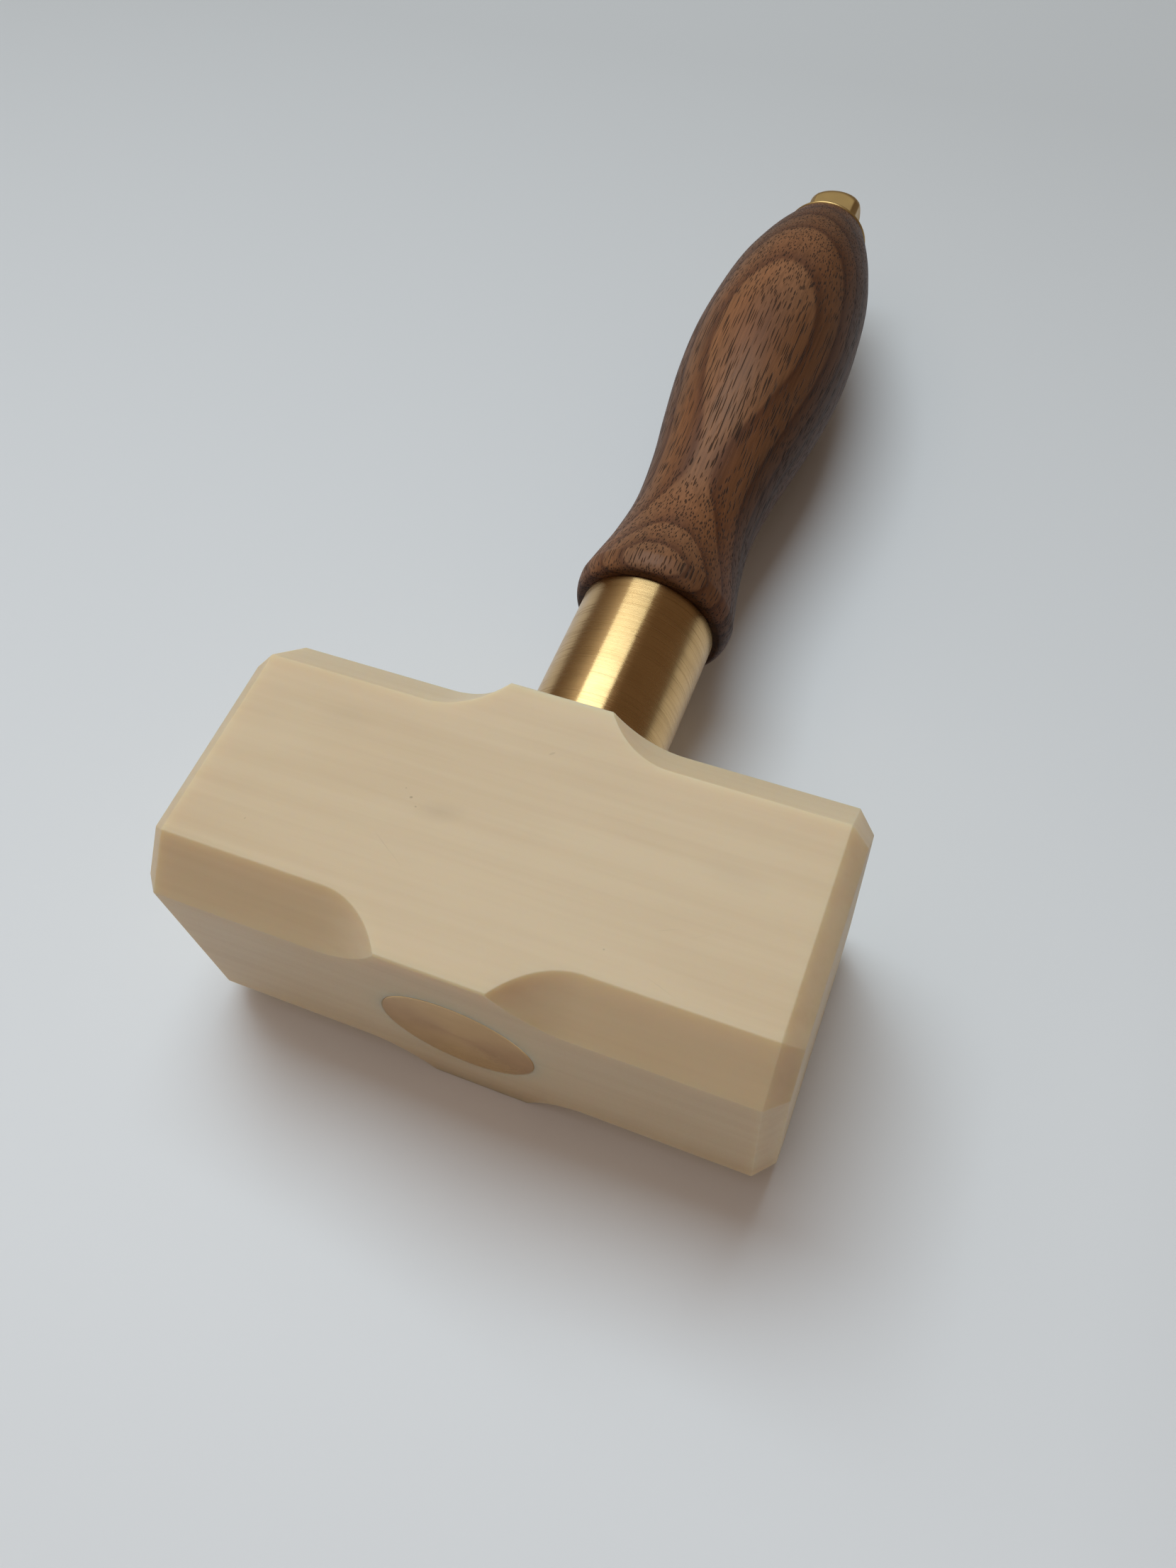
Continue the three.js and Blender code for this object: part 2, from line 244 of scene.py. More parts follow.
class Nodes:
    """Short names for building one material's node tree."""

    def __init__(self, name):
        self.material = bpy.data.materials.new(name)
        self.material.use_nodes = True
        self.tree = self.material.node_tree
        self.shader = self.tree.nodes["Principled BSDF"]
        coordinates = self.tree.nodes.new("ShaderNodeTexCoord")
        self.point = coordinates.outputs["Object"]

    def join(self, source, socket):
        """Sets the socket to a constant, or links it to another socket."""
        if isinstance(source, (int, float, tuple)):
            socket.default_value = source
        else:
            self.tree.links.new(source, socket)

    def set(self, socket_name, source):
        self.join(source, self.shader.inputs[socket_name])

    def math(self, operation, a, b=0.0, c=0.0):
        node = self.tree.nodes.new("ShaderNodeMath")
        node.operation = operation
        for socket, value in zip(node.inputs, (a, b, c)):
            self.join(value, socket)
        return node.outputs[0]

    def place(self, scale, location=(0, 0, 0), point=None):
        """The point, or else the object's own coordinates, scaled and then moved."""
        node = self.tree.nodes.new("ShaderNodeMapping")
        self.join(point or self.point, node.inputs["Vector"])
        node.inputs["Location"].default_value = location
        node.inputs["Scale"].default_value = scale
        return node.outputs[0]

    def spot(self, centre, half_size, soft, turn=0.0):
        """1 inside an ellipsoid turned about Z, fading to 0 at its surface. soft is the share of
        its size over which it fades."""
        node = self.tree.nodes.new("ShaderNodeMapping")
        node.vector_type = "TEXTURE"
        self.join(self.point, node.inputs["Vector"])
        node.inputs["Location"].default_value = centre
        node.inputs["Rotation"].default_value = (0, 0, turn)
        node.inputs["Scale"].default_value = half_size
        reach = self.tree.nodes.new("ShaderNodeVectorMath")
        reach.operation = "LENGTH"
        self.join(node.outputs[0], reach.inputs[0])
        return self.band(reach.outputs["Value"], 1.0, 1.0 - soft)

    def noise(self, point, detail, roughness=0.5):
        """Noise with features about one unit apart in the coordinates of point."""
        node = self.tree.nodes.new("ShaderNodeTexNoise")
        self.join(point, node.inputs["Vector"])
        node.inputs["Scale"].default_value = 1.0
        node.inputs["Detail"].default_value = detail
        node.inputs["Roughness"].default_value = roughness
        return node.outputs["Fac"]

    def to_nearest_seed(self, point):
        """Distance to the nearest of the random points that are about one unit apart."""
        node = self.tree.nodes.new("ShaderNodeTexVoronoi")
        self.join(point, node.inputs["Vector"])
        node.inputs["Scale"].default_value = 1.0
        return node.outputs["Distance"]

    def ramp(self, factor, stops):
        """A colour ramp from (position, colour or grey) pairs."""
        node = self.tree.nodes.new("ShaderNodeValToRGB")
        elements = node.color_ramp.elements
        while len(elements) < len(stops):
            elements.new(0.5)
        for element, (position, colour) in zip(elements, stops):
            element.position = position
            shade = colour if isinstance(colour, tuple) else (colour, colour, colour)
            element.color = (*shade, 1)
        self.join(factor, node.inputs["Fac"])
        return node.outputs["Color"]

    def band(self, value, start, end):
        """0 at start and 1 at end, straight between and level outside."""
        node = self.tree.nodes.new("ShaderNodeMapRange")
        self.join(value, node.inputs["Value"])
        node.inputs["From Min"].default_value = start
        node.inputs["From Max"].default_value = end
        return node.outputs["Result"]

    def mix(self, factor, a, b, blend="MIX"):
        node = self.tree.nodes.new("ShaderNodeMix")
        node.data_type = "RGBA"
        node.blend_type = blend
        self.join(factor, node.inputs["Factor"])
        colours = [socket for socket in node.inputs if socket.type == "RGBA"]
        for socket, value in zip(colours, (a, b)):
            self.join((*value, 1) if isinstance(value, tuple) else value, socket)
        return [socket for socket in node.outputs if socket.type == "RGBA"][0]

    def split(self, point=None):
        node = self.tree.nodes.new("ShaderNodeSeparateXYZ")
        self.join(point or self.point, node.inputs[0])
        return node.outputs

    def combine(self, x, y, z):
        node = self.tree.nodes.new("ShaderNodeCombineXYZ")
        for socket, value in zip(node.inputs, (x, y, z)):
            self.join(value, socket)
        return node.outputs[0]

    def bump(self, height, distance, strength):
        node = self.tree.nodes.new("ShaderNodeBump")
        node.inputs["Strength"].default_value = strength
        node.inputs["Distance"].default_value = distance
        self.join(height, node.inputs["Height"])
        return node.outputs[0]

    def around_axis(self):
        """The direction round the handle's axis, for brushed reflections."""
        node = self.tree.nodes.new("ShaderNodeTangent")
        node.direction_type = "RADIAL"
        node.axis = "Y"
        return node.outputs[0]

    def axis_distance(self):
        """Distance from the handle's axis."""
        place = self.split()
        x, z = place[0], place[2]
        across = self.math("SUBTRACT", x, AXIS_X)
        up = self.math("SUBTRACT", z, AXIS_Z)
        squares = self.math("MULTIPLY_ADD", across, across, self.math("MULTIPLY", up, up))
        return self.math("SQRT", squares)


# ------------------------------------------------------------------ materials

NYLON_COLOUR = (0.735, 0.568, 0.360)
NYLON_TAN = (0.685, 0.510, 0.308)
NYLON_PALE = (0.76, 0.600, 0.390)
NYLON_DIRT = (0.33, 0.22, 0.13)
# Features per metre along X, Y and Z.
NYLON_STREAKS = (14, 420, 420)
NYLON_CLOUDS = (22, 60, 60)
NYLON_GRAIN = (4000, 4000, 4000)
NYLON_SAW_LINES = (2600, 40, 40)
NYLON_RELIEF = 0.01 * MM
NYLON_SCATTER = 6.0 * MM
NYLON_SCATTER_COLOUR = (1.0, 0.72, 0.45)
MARK_DEPTH = 0.8 * MM  # how far the marks below reach into the head
SCRATCH_DIRT = 0.6  # how dark a scratch is, against a speck
SCRATCH_RELIEF = 4.0  # how deep it is, against the saw lines

# Marks on the upper cheek: (x, y) from the middle of the head, half length and half width in
# millimetres, turn in degrees from the head's length, and strength.
SCRATCHES = [
    (-14.5, -8.0, 3.2, 0.07, -32, 0.35),
    (-12.0, -9.5, 2.1, 0.05, -35, 0.25),
    (28.0, -7.0, 2.6, 0.06, 24, 0.30),
    (32.5, -6.4, 1.8, 0.05, 31, 0.22),
    (30.0, -15.0, 3.0, 0.06, -18, 0.28),
    (-31.0, 7.5, 4.4, 0.05, 9, 0.18),
    (15.0, 3.0, 5.5, 0.05, -5, 0.15),
]
SPECKS = [
    (-14.2, 0.3, 0.30, 0.22, 20, 0.55),
    (-12.9, -0.9, 0.20, 0.16, 0, 0.45),
    (-15.6, 1.5, 0.16, 0.14, 0, 0.35),
    (2.5, 14.0, 0.60, 0.22, 40, 0.24),
    (21.0, -12.5, 0.18, 0.16, 0, 0.35),
    (-36.0, -11.0, 0.22, 0.15, 70, 0.30),
]
SMUDGES = [
    (-9.0, -0.5, 4.5, 2.2, 15, 0.16),
    (34.0, 4.0, 7.0, 3.0, -8, 0.09),
    (-30.0, 10.0, 6.0, 2.5, 5, 0.08),
]


def cheek_marks(n, marks, soft):
    """One mask for a list of marks, as the strongest of them at each point."""
    total = 0.0
    for x, y, half_length, half_width, degrees, strength in marks:
        mask = n.spot(
            (HEAD_MIDDLE.x + x * MM, HEAD_MIDDLE.y + y * MM, HEAD_HIGH.z),
            (half_length * MM, half_width * MM, MARK_DEPTH),
            soft,
            math.radians(degrees),
        )
        total = n.math("MAXIMUM", total, n.math("MULTIPLY", mask, strength))
    return total


def nylon_material():
    """Ivory nylon: cloudy along the head, with faint saw lines, scraping and small stains."""
    n = Nodes("nylon")
    streaks = n.noise(n.place(NYLON_STREAKS), detail=3, roughness=0.55)
    clouds = n.noise(n.place(NYLON_CLOUDS), detail=2)
    tone = n.math("ADD", n.math("MULTIPLY", streaks, 0.5), n.math("MULTIPLY", clouds, 0.5))
    colour = n.ramp(tone, [(0.30, NYLON_TAN), (0.52, NYLON_COLOUR), (0.75, NYLON_PALE)])
    scratches = cheek_marks(n, SCRATCHES, 0.9)
    specks = cheek_marks(n, SPECKS, 0.5)
    smudges = cheek_marks(n, SMUDGES, 1.0)
    scratch_dirt = n.math("MULTIPLY", scratches, SCRATCH_DIRT)
    dirt = n.math("MAXIMUM", specks, n.math("MAXIMUM", smudges, scratch_dirt))
    n.set("Base Color", n.mix(dirt, colour, NYLON_DIRT))
    grain = n.noise(n.place(NYLON_GRAIN), detail=2)
    saw = n.noise(n.place(NYLON_SAW_LINES), detail=1)
    height = n.math("ADD", n.math("MULTIPLY", saw, 0.6), n.math("MULTIPLY", grain, 0.4))
    marks = n.math("MULTIPLY", n.math("ADD", scratches, specks), SCRATCH_RELIEF)
    height = n.math("SUBTRACT", height, marks)
    n.set("Normal", n.bump(height, NYLON_RELIEF, strength=0.5))
    n.set("Roughness", n.band(grain, -0.8, 1.8))
    n.set("Specular IOR Level", 0.45)
    n.set("Subsurface Weight", 0.85)
    n.set("Subsurface Radius", NYLON_SCATTER_COLOUR)
    n.set("Subsurface Scale", NYLON_SCATTER)
    n.set("IOR", 1.5)
    return n.material


LATHE_RINGS_PER_METRE = 9000.0
# Features per metre along X, Y and Z.
BRASS_SCRATCHES = (60, 3800, 60)
BRASS_PATCHES = (160, 320, 160)
NUT_CLOUDS = (220, 220, 220)
NUT_WEAR = (1500, 1500, 1500)

BRASS_CLEAN = (0.73, 0.485, 0.225)
BRASS_DULL = (0.69, 0.445, 0.195)
BRASS_TARNISH = (0.58, 0.36, 0.148)
BRASS_DENT = (0.22, 0.13, 0.06)
BRASS_SCRATCH_SHADE = (0.84, 0.83, 0.82)
TURNED_RELIEF = 0.004 * MM
NUT_BRASS = (0.56, 0.375, 0.155)
NUT_BRASS_DULL = (0.50, 0.325, 0.125)
NUT_RELIEF = 0.002 * MM

# Dents in the collar: degrees from the top towards +X, y from the collar's handle end, half sizes
# along X, Y and Z in millimetres, and strength.
COLLAR_DENTS = [
    (13.7, -12.2, (0.9, 0.16, 0.5), 0.55),
    (9.5, -11.6, (0.5, 0.12, 0.5), 0.40),
    (-21.1, -12.0, (1.1, 0.09, 0.8), 0.35),
    (-25.0, -11.0, (0.6, 0.08, 0.5), 0.30),
    (-22.2, -2.6, (0.5, 0.10, 0.5), 0.35),
    (-8.0, -21.0, (1.4, 0.07, 0.5), 0.25),
    (30.0, -17.0, (1.0, 0.08, 0.8), 0.25),
]


def collar_dents(n):
    """One mask for the dents, as the strongest of them at each point."""
    total = 0.0
    for degrees, y, half_size, strength in COLLAR_DENTS:
        angle = math.radians(degrees)
        centre = (
            AXIS_X + SHANK_RADIUS * math.sin(angle),
            SHANK_HIGH.y + y * MM,
            AXIS_Z + SHANK_RADIUS * math.cos(angle),
        )
        mask = n.spot(centre, tuple(size * MM for size in half_size), soft=0.8)
        total = n.math("MAXIMUM", total, n.math("MULTIPLY", mask, strength))
    return total


def turned_brass_material():
    """Brass bar straight off the lathe: fine rings round the axis, short scratches along them,
    a few dents, and reflections that are sharp round the axis and blurred along it."""
    n = Nodes("turned_brass")
    y_rings = n.math("MULTIPLY", n.split()[1], LATHE_RINGS_PER_METRE)
    radius_rings = n.math("MULTIPLY", n.axis_distance(), LATHE_RINGS_PER_METRE)
    rings = n.noise(n.combine(0.0, y_rings, radius_rings), detail=3, roughness=0.6)
    scratches = n.noise(n.place(BRASS_SCRATCHES), detail=3, roughness=0.6)
    scratched = n.band(scratches, 0.47, 0.72)
    patches = n.noise(n.place(BRASS_PATCHES), detail=3)
    dents = collar_dents(n)
    brass = n.mix(n.band(patches, 0.42, 0.70), BRASS_DULL, BRASS_TARNISH)
    brass = n.mix(n.band(rings, 0.3, 0.8), brass, BRASS_CLEAN)
    brass = n.mix(scratched, brass, BRASS_SCRATCH_SHADE, "MULTIPLY")
    n.set("Base Color", n.mix(dents, brass, BRASS_DENT))
    n.set("Metallic", 1.0)
    marks = n.math("MULTIPLY_ADD", patches, 0.6, n.math("MULTIPLY_ADD", scratched, 0.9, rings))
    n.set("Roughness", n.band(marks, -0.7, 6.4))
    n.set("Anisotropic", 0.95)
    n.set("Anisotropic Rotation", 0.25)
    n.set("Tangent", n.around_axis())
    relief = n.math("MULTIPLY_ADD", dents, -4.0, n.math("MULTIPLY_ADD", scratched, -0.8, rings))
    n.set("Normal", n.bump(relief, TURNED_RELIEF, strength=0.5))
    return n.material


def polished_brass_material():
    """The nut's brass: smooth to the touch and handled, so its reflections are soft."""
    n = Nodes("polished_brass")
    clouds = n.noise(n.place(NUT_CLOUDS), detail=2)
    wear = n.noise(n.place(NUT_WEAR), detail=2)
    n.set("Base Color", n.mix(n.band(clouds, 0.35, 0.70), NUT_BRASS, NUT_BRASS_DULL))
    n.set("Metallic", 1.0)
    n.set("Roughness", n.band(clouds, -0.9, 2.4))
    n.set("Normal", n.bump(wear, NUT_RELIEF, strength=0.4))
    return n.material


# Grain of the walnut blank, in millimetres from the handle's mouth and axis.
GRAIN_RISE = 0.0766  # the fibres climb towards +Z by this much per unit along the handle
PITH_X = -1.2
PITH_DEPTH = 36.0  # the heart of the tree lies this far under the handle's axis
RING_EDGES = [
    -17.0, -14.8, -12.4, -10.2, -7.6, -5.5, -2.8, -0.6, 2.0, 4.3, 6.8, 9.72, 12.1, 13.8, 15.6,
]
PORE_RISE = 0.125  # the pores climb a little faster than the rings
PORE_BOW = 0.45  # and bow by this much, in waves of the next length
PORE_WAVE = 72.0
PORE_WAVE_START = 33.0
WIDE_PORES = (1 / 0.55, 1 / 60, 1 / 0.55)  # pores per millimetre across, along and up
FINE_PORES = (1 / 0.32, 1 / 8, 1 / 0.32)
# Features per millimetre across, along and up.
RING_WANDER = (0.07, 0.022, 0.07)
RING_RIPPLE = (0.35, 0.045, 0.35)
WALNUT_CLOUDS = (0.12, 0.03, 0.12)
WALNUT_FIBRES = (2.4, 0.06, 2.4)
PORE_WAVER = (0.25, 0.04, 0.25)
# Where each of these starts in the pattern, so that it doesn't repeat another.
CLOUDS_SHIFT = (7, 3, 1)
FINE_PORES_SHIFT = (3, 9, 5)
EARLY_WOOD = (0.262, 0.124, 0.060)
MIDDLE_WOOD = (0.248, 0.114, 0.054)
LATE_WOOD = (0.205, 0.090, 0.042)
RING_LINE = (0.138, 0.058, 0.029)
PORE_COLOUR = (0.024, 0.012, 0.007)
PALE_CLOUD_TINT = (1.16, 1.02, 0.86)
RIGHT_SIDE_PAINTED_SHADE = (0.60, 0.56, 0.52)  # painted shade: the +X side, away from the window, darkened
END_GRAIN_TINT = (0.42, 0.38, 0.36)
WALNUT_RELIEF = 0.07 * MM
# Brightness of the years' wood, from the lowest height over the pith to the highest.
YEARS_LOW = -6.0
YEARS_HIGH = 14.0
YEARS = [
    (0.0, 0.58),
    (0.25, 0.70),
    (0.42, 0.50),
    (0.60, 0.72),
    (0.70, 0.94),
    (0.83, 1.0),
    (1.0, 0.92),
]
BELOW_ONE = 0.9999  # keeps the end of the last ring out of the next one


def ring_phase(n, height):
    """0 at the start of each year's wood and 1 at its end, from a height over the pith."""
    low, high = RING_EDGES[0], RING_EDGES[-1]
    count = len(RING_EDGES) - 1
    curve = n.tree.nodes.new("ShaderNodeFloatCurve")
    line = curve.mapping.curves[0]
    for i, edge in enumerate(RING_EDGES[1:-1], start=1):
        line.points.new((edge - low) / (high - low), i / count)
    for point in line.points:
        point.handle_type = "VECTOR"
    curve.mapping.update()
    n.join(n.band(height, low, high), curve.inputs["Value"])
    return n.math("FRACT", n.math("MULTIPLY", curve.outputs[0], count * BELOW_ONE))


def walnut_material():
    """Flat-sawn walnut. The handle's curve cuts the sloping growth rings into arches and an oval,
    and cuts the pores into long lines where it runs along them and into dots where it doesn't."""
    n = Nodes("walnut")
    start = (-AXIS_X / MM, -GRIP_LOW.y / MM, -AXIS_Z / MM)
    x, along, up = n.split(n.place((1 / MM, 1 / MM, 1 / MM), location=start))[:3]
    height = n.math("SUBTRACT", up, n.math("MULTIPLY", along, GRAIN_RISE))
    length = n.math("ADD", along, n.math("MULTIPLY", up, GRAIN_RISE))
    fibre = n.combine(x, length, height)

    wander = n.noise(n.place(RING_WANDER, point=fibre), detail=1)
    ripple = n.noise(n.place(RING_RIPPLE, point=fibre), detail=2)
    slow_bend = n.math("MULTIPLY_ADD", wander, 0.7, -0.35)
    bend = n.math("ADD", slow_bend, n.math("MULTIPLY_ADD", ripple, 0.4, -0.2))
    from_pith = n.math("SUBTRACT", x, PITH_X)
    over_pith = n.math("ADD", height, PITH_DEPTH)
    across_square = n.math("MULTIPLY", from_pith, from_pith)
    squares = n.math("MULTIPLY_ADD", over_pith, over_pith, across_square)
    ring_height = n.math("ADD", n.math("SUBTRACT", n.math("SQRT", squares), PITH_DEPTH), bend)
    phase = ring_phase(n, ring_height)

    wood = n.ramp(phase, [
        (0.0, RING_LINE),
        (0.10, EARLY_WOOD),
        (0.50, MIDDLE_WOOD),
        (0.78, LATE_WOOD),
        (0.96, RING_LINE),
    ])
    years = n.ramp(n.band(ring_height, YEARS_LOW, YEARS_HIGH), YEARS)
    wood = n.mix(1.0, wood, years, "MULTIPLY")
    clouds = n.noise(n.place(WALNUT_CLOUDS, CLOUDS_SHIFT, fibre), detail=2)
    wood = n.mix(n.band(clouds, 0.35, 0.70), wood, PALE_CLOUD_TINT, "MULTIPLY")
    # Painted shade: the +X side of the handle, which faces away from the window, is darkened, with
    # a cloudy edge.
    right_side_shade_mask = n.band(n.math("MULTIPLY_ADD", clouds, 7.0, x), 5.5, 12.5)
    wood = n.mix(right_side_shade_mask, wood, RIGHT_SIDE_PAINTED_SHADE, "MULTIPLY")
    fibres = n.noise(n.place(WALNUT_FIBRES, point=fibre), detail=3, roughness=0.6)
    fibre_shade = n.ramp(fibres, [(0.25, 0.55), (0.5, 0.95), (0.75, 1.25)])
    wood = n.mix(0.75, wood, fibre_shade, "MULTIPLY")

    waver = n.noise(n.place(PORE_WAVER, point=fibre), detail=1)
    per_millimetre = 2 * math.pi / PORE_WAVE
    wave_angle = n.math("MULTIPLY_ADD", along, per_millimetre, -per_millimetre * PORE_WAVE_START)
    wave = n.math("SINE", wave_angle)
    pore_rise = n.math("MULTIPLY_ADD", wave, PORE_BOW, n.math("MULTIPLY", along, PORE_RISE))
    pore_height = n.math("SUBTRACT", up, pore_rise)
    across_pores = n.math("MULTIPLY_ADD", waver, 0.5, x)
    shifted = n.combine(across_pores, length, n.math("MULTIPLY_ADD", waver, 0.4, pore_height))
    early = n.ramp(phase, [(0.0, 1.0), (0.35, 0.8), (0.8, 0.25), (1.0, 0.2)])
    wide = n.to_nearest_seed(n.place(WIDE_PORES, point=shifted))
    fine = n.to_nearest_seed(n.place(FINE_PORES, FINE_PORES_SHIFT, shifted))
    wide_pores = n.math("SUBTRACT", n.math("MULTIPLY_ADD", early, 0.06, 0.17), wide)
    fine_pores = n.math("SUBTRACT", n.math("MULTIPLY_ADD", early, 0.02, 0.31), fine)
    pores = n.math("MAXIMUM", n.band(wide_pores, -0.03, 0.04), n.band(fine_pores, -0.04, 0.08))
    wood = n.mix(n.math("MULTIPLY", pores, 0.84), wood, PORE_COLOUR)

    # Where the surface faces along the handle it cuts the fibres across, and is darker.
    facing = n.tree.nodes.new("ShaderNodeNewGeometry").outputs["Normal"]
    across = n.math("ABSOLUTE", n.split(facing)[1])
    wood = n.mix(n.band(across, 0.35, 0.95), wood, END_GRAIN_TINT, "MULTIPLY")
    n.set("Base Color", wood)
    fibre_roughness = n.math("MULTIPLY_ADD", fibres, 0.2, 0.36)
    n.set("Roughness", n.math("MULTIPLY_ADD", pores, 0.25, fibre_roughness))
    n.set("Specular IOR Level", 0.19)
    relief = n.math("SUBTRACT", n.math("MULTIPLY", fibres, 0.15), pores)
    n.set("Normal", n.bump(relief, WALNUT_RELIEF, strength=0.8))
    return n.material


STEEL_TURNING = (400, 6000, 400)  # features per metre
STEEL_DARK = (0.50, 0.50, 0.51)
STEEL_PALE = (0.62, 0.62, 0.63)


def steel_material():
    """Plain turned steel for the stud, which is hidden inside the handle."""
    n = Nodes("stud_steel")
    turning = n.noise(n.place(STEEL_TURNING), detail=2)
    n.set("Base Color", n.mix(n.band(turning, 0.3, 0.7), STEEL_DARK, STEEL_PALE))
    n.set("Metallic", 1.0)
    n.set("Roughness", n.band(turning, -0.6, 3.0))
    return n.material


PAPER = (0.90, 0.915, 0.94)
# Painted shade: the paper darkens towards +Y and towards +X.
PAPER_FAR_PAINTED_SHADE = (0.63, 0.63, 0.635)
PAPER_FAR_START = -0.15  # y, in metres
PAPER_FAR_END = 0.20
PAPER_RIGHT_PAINTED_SHADE = (0.40, 0.38, 0.36)
PAPER_SIDE_START = 0.10  # x, in metres
PAPER_SIDE_END = 0.55


def floor_material():
    """Pale paper with painted shade: darker beyond the handle's end and to the right."""
    n = Nodes("pale_floor")
    x, y = n.split()[:2]
    # Painted shade, darker towards +Y and then towards +X.
    paper = n.mix(n.band(y, PAPER_FAR_START, PAPER_FAR_END), PAPER, PAPER_FAR_PAINTED_SHADE)
    side = n.band(x, PAPER_SIDE_START, PAPER_SIDE_END)
    n.set("Base Color", n.mix(side, paper, PAPER_RIGHT_PAINTED_SHADE, "MULTIPLY"))
    n.set("Roughness", 0.6)
    n.set("Specular IOR Level", 0.3)
    return n.material


# ------------------------------------------------------------------ head mesh


def chamfer_leg(x):
    """Leg of the long chamfers at a distance x from the middle of the head."""
    distance = abs(x)
    if distance >= RUN_OUT_START:
        return LONG_CHAMFER
    reach = RUN_OUT_START - distance
    if reach >= RUN_OUT_RADIUS:
        return 0.0
    lift = RUN_OUT_RADIUS - math.sqrt(RUN_OUT_RADIUS**2 - reach**2)
    return max(0.0, LONG_CHAMFER - lift * math.sqrt(2))


def edge_arc(across, up, start_angle):
    """Points on an eighth of a circle, the rounding of one edge, about its centre."""
    points = []
    for angle in spaced(start_angle, start_angle + math.pi / 4, HEAD_ARC_STEPS):
        out = EDGE_RADIUS * math.cos(angle)
        rise = EDGE_RADIUS * math.sin(angle)
        points.append((across + out, up + rise))
    return points


def head_ring(x, inset):
    """The head's section at x as points, with rounded corners and the whole outline inset."""
    core = inset + EDGE_RADIUS
    half_y = HEAD_HALF.y - core
    half_z = HEAD_HALF.z - core
    leg = max(0.0, chamfer_leg(x) - core * LEG_LOSS)
    ring = []
    for quarter in range(4):
        turn = quarter * math.pi / 2
        wide, tall = (half_y, half_z) if quarter % 2 == 0 else (half_z, half_y)
        corner = edge_arc(wide, tall - leg, 0)
        start = Vector(corner[-1])
        end = Vector((wide - leg, tall)) + Vector((DIAGONAL, DIAGONAL)) * EDGE_RADIUS
        corner += [tuple(start.lerp(end, share)) for share in CHAMFER_SHARES]
        corner += edge_arc(wide - leg, tall, math.pi / 4)
        start = Vector(corner[-1])
        end = Vector((-(wide - leg), tall + EDGE_RADIUS))
        corner += [tuple(start.lerp(end, share)) for share in SIDE_SHARES]
        for across, up in corner:
            y = across * math.cos(turn) - up * math.sin(turn)
            z = across * math.sin(turn) + up * math.cos(turn)
            ring.append((x, HEAD_MIDDLE.y + y, HEAD_MIDDLE.z + z))
    return ring


def head_stations():
    """(x, inset) from one striking face to the other, close together where the shape turns."""
    half = HEAD_HALF.x
    corner_run = rounded_path(
        [(0, 0), (half - END_CHAMFER, 0), (half, END_CHAMFER), (half, 3 * END_CHAMFER)],
        [0, EDGE_RADIUS, EDGE_RADIUS, 0],
        HEAD_ARC_STEPS,
    )
    body = spaced(0, CORE_END, 8)
    body += spaced(STEEP_START, STEEP_END, 40)[:-1]
    body += spaced(STEEP_END, RUN_OUT_START, 28)
    body += spaced(STRAIGHT_START, half - END_CHAMFER - LAST_SECTION_GAP, 26)
    one_side = [(x, 0.0) for x in body]
    one_side += [(p.x, p.y) for p in corner_run[1:]]
    other_side = [(-x, inset) for x, inset in reversed(one_side[1:])]
    return other_side + one_side


def build_head(material):
    """The nylon block, skinned over its sections, with the bore cut through it."""
    rings = [head_ring(x, inset) for x, inset in head_stations()]
    size = len(rings[0])
    vertices = [point for ring in rings for point in ring]
    faces = []
    for row in range(len(rings) - 1):
        for k in range(size):
            after = (k + 1) % size
            low, high = row * size, (row + 1) * size
            faces.append((low + k, low + after, high + after, high + k))
    faces.append(tuple(range(size)))
    faces.append(tuple(range(len(vertices) - size, len(vertices))))
    head = mesh_object("head", vertices, faces, material)
    finish_mesh(head)

    bore_radius = SHANK_RADIUS + BORE_CLEARANCE
    mouth_radius = bore_radius + BORE_FLARE + CUTTER_OVERHANG
    outline = [
        (0, HEAD_LOW.y - CUTTER_OVERHANG),
        (mouth_radius, HEAD_LOW.y - CUTTER_OVERHANG),
        (bore_radius, HEAD_LOW.y + BORE_FLARE),
        (bore_radius, HEAD_HIGH.y - BORE_FLARE),
        (mouth_radius, HEAD_HIGH.y + CUTTER_OVERHANG),
        (0, HEAD_HIGH.y + CUTTER_OVERHANG),
    ]
    cutter = lathe("bore_cutter", outline, BORE_SEGMENTS, material)
    cut = head.modifiers.new("bore", "BOOLEAN")
    cut.operation = "DIFFERENCE"
    cut.solver = "EXACT"
    cut.object = cutter
    evaluated = head.evaluated_get(bpy.context.evaluated_depsgraph_get())
    head.data = bpy.data.meshes.new_from_object(evaluated)
    head.modifiers.clear()
    bpy.data.objects.remove(cutter)
    finish_mesh(head)
    return head


# ------------------------------------------------------------------ turned pieces


def build_shank(material):
    """The brass bar, from the disc in the crown of the head to the end of the collar."""
    corners = [
        (0, SHANK_LOW.y),
        (SHANK_RADIUS, SHANK_LOW.y),
        (SHANK_RADIUS, SHANK_HIGH.y),
        (0, SHANK_HIGH.y),
    ]
    path = rounded_path(corners, [0, CROWN_BEVEL, SHANK_BEVEL, 0], SHANK_BEVEL_STEPS)
    outline = [(p.x, p.y) for p in path]
    face = [(share * SHANK_RADIUS, SHANK_LOW.y) for share in CROWN_RINGS]
    return lathe("shank", outline[:1] + face + outline[1:], SHANK_SEGMENTS, material)


def smooth_curve(knots, steps):
    """Points on a Catmull-Rom curve through the knots, steps of them for each span."""
    points = []
    padded = [knots[0]] + knots + [knots[-1]]
    for i in range(1, len(padded) - 2):
        p0, p1, p2, p3 = (Vector(p) for p in padded[i - 1 : i + 3])
        for k in range(steps):
            t = k / steps
            square = (2 * p0 - 5 * p1 + 4 * p2 - p3) * t**2
            cube = (3 * p1 - p0 - 3 * p2 + p3) * t**3
            here = 0.5 * ((2 * p1) + (p2 - p0) * t + square + cube)
            points.append((here.x, here.y))
    points.append(knots[-1])
    return points


